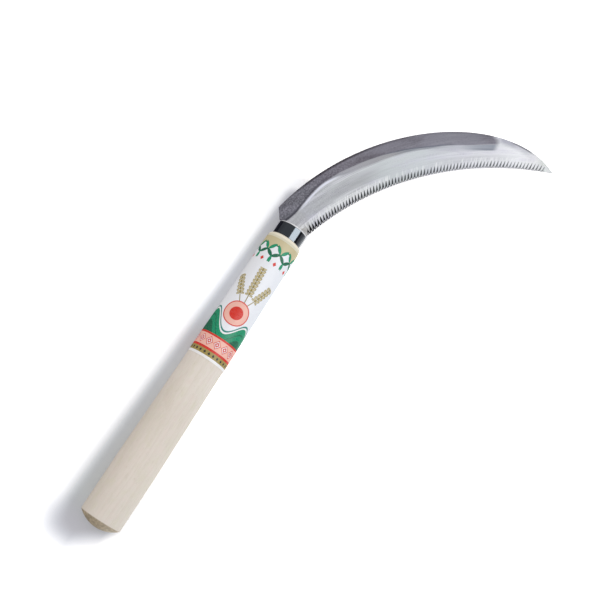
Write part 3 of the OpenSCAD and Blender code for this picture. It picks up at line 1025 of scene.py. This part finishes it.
# Painted highlight: a thin near-white, half-metallic ring on the roll
rim_highlight = (x + rim_noise * 0.4).rise(219.05, 219.45) * (from_axis - rim_noise).rise(7.9, 8.4)
coat_colour = layered(web, (8, 9, 13), (ripple, (18, 20, 27)), (specks * 0.3, (46, 48, 56)),
                      (rim_highlight, (250, 250, 250)))
finished(web, coat_colour, 0.10 + specks * 0.1 + rim_highlight * 0.2, Metallic=rim_highlight * 0.5,
         Normal=bumped(web, ripple, 0.05), **{"Specular Tint": (0.8, 0.9, 1, 1)})

# %% Cap
CAP_LEN, CAP_R, CAP_WALL, CAP_ROUND = 10.2, 10.15, 0.8, 1.6
CAP_RINGS, CAP_RING_STEP, SLOT_FACE_R = 14, 0.6, 4.0
CAP_SLOT_FROM, CAP_SLOT_LEN = HANDLE_LEN + 4.0, 14.0
cap_end = HANDLE_LEN + CAP_LEN
roll_centre = (cap_end - CAP_ROUND, CAP_R - CAP_ROUND)
profile = [(cap_end - CAP_WALL, 0.0)]
profile += arc(*roll_centre, CAP_ROUND - CAP_WALL, 0, 90, 6)
profile += [(HANDLE_LEN, CAP_R - CAP_WALL), (HANDLE_LEN, CAP_R)]
profile += [(HANDLE_LEN + CAP_RING_STEP * (n + 1), CAP_R) for n in range(CAP_RINGS)]
profile += arc(*roll_centre, CAP_ROUND, 90, 0, 12)
profile += [(cap_end, SLOT_FACE_R), (cap_end, 0.0)]
cap = turned("ferrule", profile, black_coat)
cut_away(cap, [cutter(CAP_SLOT_FROM, SLOT_W, SLOT_T, CAP_SLOT_LEN)])
smoothed(cap)
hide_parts("ferrule")
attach(cap, "root")
glossy_pieces.objects.link(cap)
print("cap:", len(cap.data.polygons), "faces")

# %% [markdown]
# ## The printed sleeve
# A strip of printed paper is wrapped round the upper handle and glued, with its ends lapped on
# the underside. The print could be put on the wood's own colour, but then the sleeve would have
# no edge, no lap and no thickness. So it is a thin closed sheet that carries its own flat
# coordinates: how far round and how far along, in millimetres, and the print is drawn on it as
# on paper.

# %% Sheet of the sleeve
LABEL_LEN, LABEL_BACK, LABEL_T, GLUE = 91.0, 4.0, 0.15, 0.05
label_start = HANDLE_LEN - LABEL_BACK - LABEL_LEN
PRINT_R = 12.5
LAP_ANGLE = 0.55
PRINT_UNIT = 100.0
SEAM_WITHIN = 0.001


def sleeve(name, finish, along_steps=60, round_steps=180):
    """The wrapped sheet: outside, inside and ends, one layer thicker where it is lapped."""
    work = bmesh.new()
    flat = work.loops.layers.uv.new("print")
    turns = [-math.pi + 2 * math.pi * n / round_steps for n in range(round_steps + 1)]
    places = [label_start + LABEL_LEN * n / along_steps for n in range(along_steps + 1)]

    def point(layers, x, a):
        """A point of the sheet, so many layers above the glue."""
        lapped = 1 if layers and a < -math.pi + LAP_ANGLE else 0
        r = (handle_r(x) + GLUE + LABEL_T * (layers + lapped)) * MM
        return work.verts.new((x * MM, -r * math.sin(a), r * math.cos(a)))

    walls = [[[point(layers, x, a) for a in turns] for x in places] for layers in (0, 1)]

    def face(*corners):
        """A face from (wall, place, turn) corners, with its spot on the flat print."""
        made = work.faces.new([walls[w][n][m] for w, n, m in corners])
        for loop, (w, n, m) in zip(made.loops, corners):
            loop[flat].uv = (turns[m] * PRINT_R / PRINT_UNIT + 0.5,
                             (places[n] - label_start) / PRINT_UNIT)

    for n in range(along_steps):
        for m in range(round_steps):
            for w in (0, 1):
                face((w, n, m), (w, n, m + 1), (w, n + 1, m + 1), (w, n + 1, m))
    for n in (0, along_steps):
        for m in range(round_steps):
            face((0, n, m), (0, n, m + 1), (1, n, m + 1), (1, n, m))
    for n in range(along_steps):
        for m in (0, round_steps):
            face((0, n, m), (0, n + 1, m), (1, n + 1, m), (1, n, m))
    bmesh.ops.remove_doubles(work, verts=work.verts[:], dist=SEAM_WITHIN * MM)
    bmesh.ops.recalc_face_normals(work, faces=work.faces[:])
    return piece_from(work, name, finish)


# %% [markdown]
# ## The print
# The print is a field scene in flat inks, with a border at the blade's end and bands at the
# butt's end. Flat shapes could be laid on the sleeve, but thin shapes on a thin sheet
# flicker. So the whole print is one paint formula on the flat coordinates: each motif is a
# distance, and ink goes wherever the distance is under a limit. The inks are kept in one list,
# in the order in which a press lays them down.

# %% Where a point is on the flat print, and how ink ends
printed, web = new_material("printed paper")
flat = separate(web, web.node("ShaderNodeUVMap", {"uv_map": "print"}).outputs[0])
a, b = (flat[0] - 0.5) * PRINT_UNIT, flat[1] * PRINT_UNIT
SOFT = 0.12
PAPER, WHITE, BLACK = (243, 246, 251), (248, 248, 248), (30, 32, 28)
GOLD, GOLD_PALE, STRAW = (166, 146, 80), (208, 196, 156), (150, 134, 70)
RED, PINK = (218, 48, 30), (248, 192, 176)
GREEN, DEEP_GREEN, TEAL = (0, 148, 104), (0, 104, 72), (40, 134, 124)


def within(value, limit):
    """1 where the value is under the limit, with a soft printed edge."""
    return 1 - value.rise(limit - SOFT, limit + SOFT)


def band(low, high):
    """1 between two distances along the sleeve."""
    return within(low - b, 0.0) * within(b, high)


def length_of(u, v):
    """The length of a step of u and v."""
    return (u * u + v * v).sqrt()


def seen_turned(u, v, degrees):
    """The same step in axes that are turned by an angle."""
    c, s = math.cos(math.radians(degrees)), math.sin(math.radians(degrees))
    return u * c + v * s, v * c - u * s


def repeated(count):
    """The distance round the sleeve from the middle of the nearest of count equal parts."""
    part = 2 * math.pi * PRINT_R / count
    return abs((a / part) % 1.0 - 0.5) * part


# %% Ears of rice on straight stalks
STALK_BELOW, GRAIN_STEP = 20.0, 2.6


def ear(ca, cb, length, degrees):
    """The inks of grains in two leaning rows along a stalk."""
    u, v = seen_turned(a - ca, b - cb, degrees)
    v = abs(v)
    grain = length_of(((u - v * 0.8) % GRAIN_STEP - GRAIN_STEP / 2) * 0.85, (v - 1.3) / 1.2)
    inside = within(-u, 0.0) * within(u, length)
    stalk = within(v, 0.28) * within(-u, STALK_BELOW) * within(u, length)
    return [(stalk, STRAW), (within(grain, 1.05) * inside, STRAW),
            (within(grain, 0.74) * inside, GOLD_PALE)]


inks = ear(2.0, 48.0, 21.0, 94.0) + ear(7.0, 46.5, 15.0, 66.0) + ear(-3.2, 46.5, 15.0, 120.0)

# %% A low sun between hills
round_turn = a / PRINT_R
hills = 23.2 - (round_turn * 3 - 0.25).cos() * 6.5 + (round_turn + 2.2).sin() * 3.0
sun = length_of(a - 1.8, b - 34.5)
inks += [(within(sun, r), ink) for r, ink in ((8.4, RED), (7.7, PINK), (4.4, RED))]
inks += [(within(b, hills + above), ink) for above, ink in (
    (2.4, TEAL), (1.2, WHITE), (0.0, GREEN), (-4.0, DEEP_GREEN), (-4.8, GREEN),
    (-8.6, DEEP_GREEN))]

# %% Bands of lozenges and studs at the butt's end
LOZENGES, STUDS = 14, 26
inks += [(band(5.2, 16.0), RED), (band(6.8, 14.7), PINK)]
lozenge = repeated(LOZENGES) * 1.25 + abs(b - 10.8)
inks += [(within(lozenge, limit), ink) for limit, ink in (
    (3.2, RED), (2.5, WHITE), (1.8, RED), (0.7, WHITE))]
stud = repeated(STUDS) + abs(b - 3.45) * 0.8
inks += [(band(1.7, 5.2), GOLD), (within(stud, 0.85), BLACK), (within(b, 1.7), WHITE)]

# %% Scalloped gold border at the blade's end, with a leaf on each side of every scallop
SCALLOPS = 8
scallop_a = repeated(SCALLOPS)
border = 81.5 + (scallop_a * (SCALLOPS / (2 * PRINT_R))).sin() * 5.0


def leaf(ca, cb, length, width, degrees):
    """1 inside a pointed leaf: where two discs overlap."""
    r = (length * length / 4 + width * width / 4) / width
    u, v = seen_turned(scallop_a - ca, b - cb, degrees)
    return within(length_of(u, abs(v) + (r - width / 2)), r)


inks += [(within(border - b, 0.9), DEEP_GREEN), (within(border - b, 0.0), GOLD_PALE),
         (leaf(2.3, 84.5, 7.0, 2.3, 52.0), GREEN), (leaf(2.6, 80.0, 7.4, 2.4, -38.0), DEEP_GREEN),
         (leaf(4.9, 76.5, 6.0, 2.0, 78.0), GREEN),
         (within(scallop_a + abs(b - 74.6) * 0.8, 1.3), RED)]

# %% Printed paper, and the sleeve
speck = noise(web, a * 1.1, b * 1.1, 0.0, 3.0)
crinkle = noise(web, a * 0.12, b * 0.05, 2.0, 3.0)
paint = layered(web, PAPER, *inks, ((speck - 0.5) * 0.25 + 0.04, (214, 212, 220)))
finished(web, paint, 0.42 + (speck - 0.5) * 0.15, Normal=bumped(web, crinkle, 0.12),
         **{"Specular IOR Level": 0.065})
label = sleeve("label", printed)
smoothed(label)
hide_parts("label")
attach(label, "root")
glossy_pieces.objects.link(label)
print("label:", len(label.data.polygons), "faces,", len(inks), "inks")

# %% [markdown]
# ## The nail
# The nail through the handle and the tang is a plain wire nail under the sleeve. It could be
# built again as the other pieces were. But its solid has the right shape and it is hidden, so
# it stays and only gets a finish: drawn steel with a touch of brown.

# %% Nail finish
nail_steel, web = new_material("nail steel")
x, y, z = place_mm(web)
grime = noise(web, x * 0.8, y * 0.8, z * 0.8, 4.0)
nail_colour = mix(web, grime.rise(0.5, 0.7) * 0.6, (150, 150, 154), (120, 96, 74))
finished(web, nail_colour, 0.35 + grime * 0.2, Metallic=1.0, Normal=bumped(web, grime, 0.02))
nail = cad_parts["tang_pin"]
nail.data.materials.clear()
nail.data.materials.append(nail_steel)
